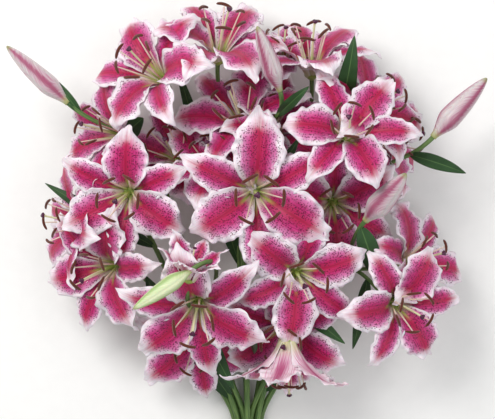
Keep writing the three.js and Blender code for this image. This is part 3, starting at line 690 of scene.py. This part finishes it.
# %% One petal's skin
def petal(flower, seed, k):
    """A petal's rings in the flower's own frame, with its values for the finish."""
    s, out, height, lean, length = (v if np.isscalar(v) else v[:, None] for v in petal_line(flower, seed, k))
    size = flower[4]
    broad = 1 - k % 2
    full = (INNER_HALF_WIDTH if broad else OUTER_HALF_WIDTH) * size * petal_width(s)
    full = full * (1 - 0.5 * smooth(0.66, 0.97, s))  # drawn out to a point
    u = np.concatenate([np.linspace(1, -1, COLUMNS), np.linspace(-1, 1, COLUMNS)])[None, :]
    front = np.repeat([1.0, 0.0], COLUMNS)[None, :]
    arc = np.minimum(full / out, WRAP)
    wrapped = 1 - smooth(0.25, 0.7, s)
    lift = wrapped * out * (1 - np.cos(arc * u)) - (1 - wrapped) * 0.2 * full * s * u**2
    wide = wrapped * out * np.sin(arc * u) + (1 - wrapped) * full * u
    # the waved margin, not the same on the two sides
    phase = np.where(u > 0, vary(seed, k + 90), vary(seed, k + 91)) * math.pi
    waves = 3.3 + 0.7 * vary(seed, k + 92)
    reach = smooth(0.14, 0.42, s) * (1 - smooth(0.92, 1, s))
    wave = np.sin(math.tau * waves * s + phase) + 0.5 * np.sin(math.tau * 2.3 * waves * s + 2 * phase)
    lift = lift + (3.6 if broad else 2.0) * size * reach * np.abs(u) ** 2.2 * wave
    crimp = np.sin(math.tau * (9 + 2 * vary(seed, k + 93)) * s + 4 * phase)
    lift = lift + (1.1 if broad else 0.6) * size * reach * np.abs(u) ** 5 * crimp
    wide = wide * (1 + 0.035 * reach * u**2 * (np.sin(math.tau * 1.7 * waves * s + phase) + 0.6 * crimp))
    # the furrow in front, with a low ridge on either side of it, and the rib behind
    off = np.abs(u) * full
    furrow = -1.1 * np.exp(-((off / 2.0) ** 2)) * (1 - s) ** 0.5
    furrow = furrow + 0.6 * np.exp(-(((off - 4.2) / 1.8) ** 2)) * (1 - smooth(0.2, 0.55, s))
    rib = -1.2 * np.exp(-((off / 2.4) ** 2)) * (1 - s) ** 0.4
    thick = 0.5 - 0.3 * np.abs(u) ** 3
    lift = lift + np.where(front > 0, furrow + thick, rib - thick)
    # a twist that grows towards the tip
    bend = np.radians(12 * vary(seed, k + 40)) * s**2
    bend = bend + np.radians(38 * vary(seed, k + 95)) * smooth(0.7, 1, s)
    across = wide * np.cos(bend) - lift * np.sin(bend)
    rise = lift * np.cos(bend) + wide * np.sin(bend)
    r = out - np.cos(lean) * rise
    turn = math.radians(60 * k + 4 * vary(seed, k + 30))
    rings = np.stack([r * math.cos(turn) - across * math.sin(turn),
                      r * math.sin(turn) + across * math.cos(turn),
                      height + np.sin(lean) * rise], axis=-1)
    place = np.stack(np.broadcast_arrays(s * length, u * full, 13.7 * seed + 7.3 * k), axis=-1)
    return rings, {"along": s, "across": u, "front": front, "place": place, "tone": vary(seed, k + 97)}


print("a petal has", ROWS * COLUMNS * 2, "points")

# %% [markdown]
# ## Stamens and the pistil
# Each stamen is a slim filament with an anther poised across its end, curved like a little banana. The
# pistil in the middle is one tube: the ovary at its foot, the long style, and the stigma's three lobes.


# %% One stamen
def stamen(flower, seed, k):
    size, opening = flower[4], flower[5]
    turn = math.radians(60 * k + 30 + 6 * vary(seed, k + 50))
    lean = math.radians(min(opening, 60) * (0.32 + 0.07 * vary(seed, k + 60)))
    length = FILAMENT_LENGTH * size
    outward = np.array([math.cos(turn), math.sin(turn), 0])
    root = outward * FILAMENT_RING + [0, 0, -1]
    tip = outward * (FILAMENT_RING + length * math.sin(lean)) + [0, 0, length * math.cos(lean)]
    bow = root + (tip - root) * 0.55 - outward * 1.6 * size
    filament = tube(bezier([root, bow, tip], 14), np.linspace(1.5, 0.75, 14), 8)
    across = unit(np.array([-math.sin(turn), math.cos(turn), 0.5 * vary(seed, k + 70)]))
    half = across * ANTHER_LENGTH / 2 * size
    over = unit(tip - root) * 5.2 * size
    line = bezier([tip - half - over * 0.42, tip + over * 0.62, tip + half - over * 0.42], 15)
    t = np.linspace(-1, 1, 15)
    anther = tube(line, 0.85 * ANTHER_RADIUS * size * (0.12 + 0.88 * (1 - t**4) ** 0.5), 12,
                  lambda angle: 1 - 0.24 * np.cos(2 * angle) ** 8)
    return filament, anther


# %% One pistil
def pistil(flower, seed):
    size = flower[4]
    length = STYLE_LENGTH * size
    sway = length * 0.1
    line = bezier([(0, 0, -1), (0, 0, 0.6 * length),
                   (sway * vary(seed, 81), sway * vary(seed, 82), length)], 48)
    t = np.linspace(0, 1, 48)
    swell = (OVARY_RADIUS - STYLE_RADIUS) * (1 - smooth(0.2, 0.32, t))
    knob = (STIGMA_RADIUS - STYLE_RADIUS) * smooth(0.9, 0.975, t) * (1 - 0.45 * smooth(0.985, 1, t))
    radii = (STYLE_RADIUS * 0.9 + swell + knob) * math.sqrt(size)
    angle = np.linspace(0, math.tau, 18, endpoint=False)
    lobes = 1 + (0.2 * smooth(0.9, 0.97, t)[:, None] - 0.06 * (t < 0.3)[:, None]) * np.cos(3 * angle)
    return tube(line, radii[:, None] * lobes, 18)


print("stamens and pistils can be made")

# %% [markdown]
# ## A whole flower
# The petals of a flower are one piece and its heart is another: the receptacle that everything grows on,
# six stamens and the pistil. The half-open flower keeps its stamens hidden, so it has none to show.


# %% Every flower
HIDES_STAMENS = 50  # a flower opened less far than this shows none
ROUNDED = 24  # points round a receptacle


def bloom_frame(flower):
    """The flower's own directions and the place of its base."""
    at, lean, to, turn, size, _, _ = flower
    axis = heading(lean, to)
    first = heading(90, turn)
    first = unit(first - axis * (first @ axis))
    return np.array([first, np.cross(axis, first), axis]), spot(at) - axis * THROAT_DEPTH * size


def receptacle(size):
    t = np.linspace(0, 1, 12)
    line = np.outer(-RECEPTACLE_DEPTH - 0.5 + (RECEPTACLE_DEPTH * 1.3) * t, [0, 0, 1])
    radii = PEDICEL_RADIUS + (RECEPTACLE_RADIUS - PEDICEL_RADIUS) * smooth(-0.25, 0.8, t)
    angle = np.linspace(0, math.tau, ROUNDED, endpoint=False)
    return tube(line, radii[:, None] * (1 + 0.05 * smooth(0.2, 0.9, t)[:, None] * np.cos(6 * angle)), ROUNDED)


for seed, (name, flower) in enumerate(FLOWERS.items(), 1):
    turn, base = bloom_frame(flower)
    petals, heart = Growth(), Growth()
    for k in range(6):
        rings, values = petal(flower, seed, k)
        petals.add(rings @ turn + base, **values)
        if flower[5] > HIDES_STAMENS:
            (filament, on_filament), (anther, on_anther) = stamen(flower, seed, k)
            heart.add(filament @ turn + base, np.linspace(0, 1, len(filament))[:, None], place=on_filament)
            heart.add(anther @ turn + base, 1, place=on_anther + 9 * k, slot=1)
    for slot, (rings, place) in ((2, pistil(flower, seed)), (2, receptacle(flower[4]))):
        along = np.linspace(0, 1, len(rings))[:, None] * (1 if len(rings) > 12 else 0)
        heart.add(rings @ turn + base, along, place=place, slot=slot)
    petals.piece("petals_" + name, [PETAL], ["flower_" + name], "petal")
    heart.piece("heart_" + name, [FILAMENT, ANTHER, PISTIL], ["flower_" + name], "petal")
print(len(FLOWERS), "flowers of six petals")

# %% [markdown]
# ## Buds
# A closed bud shows three sepals, edge to edge, each with a rib along its middle. It is a tube that swells
# a third of the way up, pinched in along the three seams.


# %% Every bud
BUD_STEPS, BUD_AROUND = 40, 48


def bud_width(s):
    return (0.3 + 0.7 * smooth(0, 0.34, s)) * (1 - s**2.4) ** 0.75 + 0.08 * s


for seed, (name, (at, lean, to, length, radius)) in enumerate(BUDS.items(), 1):
    axis = heading(lean, to)
    t = np.linspace(0, 1, BUD_STEPS)
    line = spot(at) + np.outer(t * length, axis)
    angle = np.linspace(0, math.tau, BUD_AROUND, endpoint=False)
    from_seam = 1 - np.abs((angle * 3 / math.tau + seed * 0.37) % 1 * 2 - 1)
    pinch = 1 - 0.12 * np.exp(-((from_seam / 0.1) ** 2)) + 0.05 * smooth(0.72, 1, from_seam)
    uneven = 1 + 0.02 * np.sin(7 * t[:, None] + 3 * angle + seed)
    rings, place = tube(line, radius * bud_width(t)[:, None] * pinch * uneven, BUD_AROUND)
    closed = Growth()
    closed.add(rings, t[:, None], from_seam, place=place)
    finish, slot = (GREEN_BUD, "green_bud") if name == "green" else (BUD, "bud")
    closed.piece("closed_bud_" + name, [finish], ["bud_" + name], slot)
print(len(BUDS), "buds")

# %% [markdown]
# ## Stems
# A lily's stem branches near its top into a pedicel for each head. In the tie the stems lie side by side
# in three layers, and below it they spread again to their cut ends. Each stem is drawn through the same
# few points as its solid, so it passes the tie exactly where the solid does.

# %% The line of a stem and of a pedicel
SLOT = 2 * STEM_RADIUS + 2 * CLEARANCE
ROW_RISE = SLOT * math.sin(math.pi / 3)
LOWEST_ROW = STEM_RADIUS + 2 * CLEARANCE + TIE_THICKNESS
ALONG_STEM = 400  # points along a stem's line


def in_tie(slot):
    return slot[0] * SLOT, LOWEST_ROW + slot[1] * ROW_RISE


def even(line, count):
    """The same line with its points evenly spaced."""
    length = np.append(0, np.cumsum(np.linalg.norm(np.diff(line, axis=0), axis=1)))
    wanted = np.linspace(0, length[-1], count)
    return np.stack([np.interp(wanted, length, line[:, i]) for i in range(3)], axis=-1)


def through(points, steps=60):
    """A smooth line through points, that neither loops nor overshoots where they are unevenly spaced."""
    points = np.array(points, float)
    points = np.vstack([2 * points[0] - points[1], points, 2 * points[-1] - points[-2]])
    pieces = []
    t = np.linspace(0, 1, steps)[:, None]
    for a, b, c, d in zip(points, points[1:], points[2:], points[3:]):
        before, gap, after = (math.sqrt(np.linalg.norm(q - p)) for p, q in ((a, b), (b, c), (c, d)))
        leave = ((b - a) / before - (c - a) / (before + gap) + (c - b) / gap) * gap
        arrive = ((c - b) / gap - (d - b) / (gap + after) + (d - c) / after) * gap
        pieces.append(b + leave * t + (3 * (c - b) - 2 * leave - arrive) * t**2
                      + (2 * (b - c) + leave + arrive) * t**3)
    return np.vstack(pieces)


def stem_line(name):
    slot, fork, _ = STEMS[name]
    (x, z), fork = in_tie(slot), spot(fork)
    tail = np.array([x * TAIL_SPLAY, NECK_Y - TAIL_LENGTH, STEM_RADIUS + (z - LOWEST_ROW) * 1.15])
    below, above = np.array([x, NECK_Y - TIE_WIDTH, z]), np.array([x, NECK_Y + TIE_WIDTH, z])
    return even(through([tail, below, above, (above + fork) / 2 - [0, 0, 4], fork]), ALONG_STEM)


def seat(head):
    """Where a head joins its pedicel, and which way it faces."""
    kind, name = head.split("_", 1)
    if kind == "flower":
        at, lean, to, _, size, _, _ = FLOWERS[name]
        axis = heading(lean, to)
        return spot(at) - axis * (THROAT_DEPTH * size + RECEPTACLE_DEPTH), axis
    at, lean, to, _, _ = BUDS[name]
    return spot(at), heading(lean, to)


lines = {}
for name, (_, _, heads) in STEMS.items():
    line = lines["stem_" + name] = stem_line(name)
    for place, head in enumerate(heads):
        at = int(round((1 - 0.012 * place) * (ALONG_STEM - 1)))
        fork, ahead = line[at], unit(line[min(at + 1, ALONG_STEM - 1)] - line[at - 1])
        base, axis = seat(head)
        reach = np.linalg.norm(base - fork)
        handles = [fork, fork + ahead * reach * 0.3, base - axis * reach * 0.38, base + axis * 1.5]
        lines[head] = even(bezier(handles, 200), 100)
print(len(lines), "lines of stems and pedicels")

# %% Every stem with its pedicels
STEM_STEPS, PEDICEL_STEPS, LEAF_SCARS = 90, 28, 9

for seed, (name, (_, _, heads)) in enumerate(STEMS.items(), 1):
    branch = Growth()
    line = even(lines["stem_" + name], STEM_STEPS)
    t = np.linspace(0, 1, STEM_STEPS)
    radii = STEM_RADIUS * (1 - 0.22 * t)
    for joint in range(LEAF_SCARS):
        # the low ring that a fallen leaf leaves on the stem
        away = t - 0.06 - 0.105 * joint - 0.03 * vary(seed, joint)
        radii = radii * (1 + 0.06 * np.exp(-((away / 0.006) ** 2)))
    rings, place = tube(line, radii, 18, lambda angle: 1 + 0.03 * np.cos(5 * angle))
    branch.add(rings, t[:, None] * 0.6, place=place, end_slot=1)
    for head in heads:
        pedicel = even(lines[head], PEDICEL_STEPS)
        t = np.linspace(0, 1, PEDICEL_STEPS)
        rings, place = tube(pedicel, PEDICEL_RADIUS * (1 + 0.35 * (1 - smooth(0, 0.12, t)) + 0.2 * t**6), 12)
        branch.add(rings, 0.6 + 0.4 * t[:, None], place=place)
    branch.piece("branch_" + name, [STEM, CUT_END], ["stem_" + name], "stem")
print(len(STEMS), "stems")

# %% [markdown]
# ## Leaves
# A lily leaf is lance-shaped, folded a little along its middle, and arches away from the stem. It is a
# thin closed sheet like a petal. Its edge undulates slowly and its parallel veins come from the finish.


# %% Every leaf
LEAF_STEPS, LEAF_COLUMNS = 46, 15


def leaf_width(s):
    return np.sin(math.pi * s**0.8) ** 0.8


for seed, (name, (on, along, tip, arch, half)) in enumerate(LEAVES.items(), 1):
    carrier = lines[on]
    base, tip = carrier[int(round(along * (len(carrier) - 1)))], spot(tip)
    middle = base + (tip - base) * 0.45 + [0, 0, 2 * arch]
    line = bezier([base, middle, tip], LEAF_STEPS)
    tangent = np.gradient(line, axis=0)
    tangent /= np.linalg.norm(tangent, axis=1, keepdims=True)
    normal = np.array([0, 0, 1]) - tangent * tangent[:, 2:]
    normal /= np.linalg.norm(normal, axis=1, keepdims=True)
    across = np.cross(normal, tangent)
    s = np.linspace(0.004, 0.996, LEAF_STEPS)[:, None]
    u = np.concatenate([np.linspace(1, -1, LEAF_COLUMNS), np.linspace(-1, 1, LEAF_COLUMNS)])[None, :]
    front = np.repeat([1.0, 0.0], LEAF_COLUMNS)[None, :]
    wide = half * np.maximum(leaf_width(s), 0.03)
    wave = np.sin(math.tau * (2.2 + 0.5 * vary(seed, 1)) * s + 3 * vary(seed, 2) + 2.2 * np.sign(u))
    lift = 0.3 * wide * np.abs(u) + 0.9 * wave * u**2 * smooth(0.05, 0.3, s) * (1 - smooth(0.85, 1, s))
    groove = 0.5 * np.exp(-((u * wide / 1.1) ** 2)) * (1 - s) ** 0.5
    thick = 0.42 - 0.2 * np.abs(u) ** 3
    lift = lift - groove + np.where(front > 0, thick, -thick)
    rings = line[:, None] + (wide * u)[..., None] * across[:, None] + lift[..., None] * normal[:, None]
    length = np.linalg.norm(tip - base)
    place = np.stack(np.broadcast_arrays(s * length, wide * u, 5.1 * seed), axis=-1)
    blade = Growth()
    blade.add(rings, s, u, front, place)
    blade.piece("blade_" + name, [LEAF], ["leaf_" + name], "leaf")
print(len(LEAVES), "leaves")

# %% [markdown]
# ## The tie
# The stems are bound with raffia, a flat dry strip of palm leaf that is wound several times round them and
# knotted on top. Its path is the outline of the stems, as a string drawn tight round them would take.


# %% Raffia
def round_stems(distance, count=160):
    """A closed line in x and z round all the stems at the tie, at a distance from their middles."""
    middles = np.array([in_tie(slot) for slot, _, _ in STEMS.values()])
    angle = np.linspace(0, math.tau, 721)
    facing = np.stack([np.cos(angle), np.sin(angle)], axis=-1)
    outline = middles[np.argmax(facing @ middles.T, axis=1)] + facing * distance
    length = np.append(0, np.cumsum(np.linalg.norm(np.diff(outline, axis=0), axis=1)))
    wanted = np.linspace(0, length[-1], count + 1)[:-1]
    return np.stack([np.interp(wanted, length, outline[:, i]) for i in range(2)], axis=-1)


def strip(line, outward, width, thick):
    """A flat strip along a line, lying against whatever outward points away from."""
    ahead = np.gradient(line, axis=0)
    ahead /= np.linalg.norm(ahead, axis=1, keepdims=True)
    side = np.cross(ahead, outward)
    angle = np.linspace(0, math.tau, 10, endpoint=False)
    rings = (line[:, None] + np.cos(angle)[None, :, None] * side[:, None] * width / 2
             + np.sin(angle)[None, :, None] * outward[:, None] * thick / 2)
    length = np.append(0, np.cumsum(np.linalg.norm(np.diff(line, axis=0), axis=1)))
    place = np.stack(np.broadcast_arrays(length[:, None], np.cos(angle) * width / 2, line[0].sum()), axis=-1)
    return rings, place


winding = Growth()
LAYERS, TURNS, STRIP_WIDTH, STRIP_THICK = 3, 3, 7.2, 0.9
for layer in range(LAYERS):
    loop = round_stems(STEM_RADIUS + 1.1 + 0.85 * layer)
    count = len(loop) * TURNS
    index = np.arange(count + 1) % len(loop)
    t = np.arange(count + 1) / count
    sway = 0.5 * np.sin(9 * t + 2 * layer)
    reach = (TIE_WIDTH - STRIP_WIDTH / 2) / 2
    y = NECK_Y + (reach * (2 * t - 1) if layer != 1 else -reach * (2 * t - 1)) * 0.9 + sway
    line = np.stack([loop[index, 0], y, loop[index, 1]], axis=-1)
    outward = np.cross(np.gradient(line, axis=0), [0, 1, 0])
    outward /= np.linalg.norm(outward, axis=1, keepdims=True)
    middle = np.array([0, 0, loop[:, 1].mean()])
    flip = np.sign(np.sum(outward * (line - [0, NECK_Y, 0] - middle), axis=1))[:, None]
    rings, place = strip(line, outward * flip, STRIP_WIDTH, STRIP_THICK)
    winding.add(rings, t[:, None], place=place + [0, 0, 31 * layer])
top = round_stems(STEM_RADIUS + CLEARANCE + TIE_THICKNESS)[:, 1].max()
for lap in range(3):
    # three short laps of the knot, drawn tight on top
    t = np.linspace(0, math.tau, 41)[:-1]
    knot = np.stack([6.5 * np.cos(t), 3.2 * np.sin(t) * (1 + 0.2 * lap), 1.4 * np.sin(2 * t + lap)], axis=-1)
    spin = math.radians(62 * lap)
    turn_knot = np.array([[math.cos(spin), math.sin(spin), 0],
                          [-math.sin(spin), math.cos(spin), 0], [0, 0, 1]])
    rings, place = tube(np.vstack([knot, knot[:1]]) @ turn_knot + [2, NECK_Y, top + 1.0], np.full(41, 1.3), 9)
    winding.add(rings, 0.5, place=place)
winding.piece("raffia_winding", [RAFFIA], ["tie"], "raffia")
print("raffia wound", LAYERS * TURNS, "times")

# %% [markdown]
# ## The two boxes
# The finished bouquet should fill the solids' box without standing far out of it.

# %% Print both boxes
visual_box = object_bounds()
for name, box in (("solids", solid_box), ("visual", visual_box)):
    print(name, [tuple(round(v, 4) for v in corner) for corner in box])
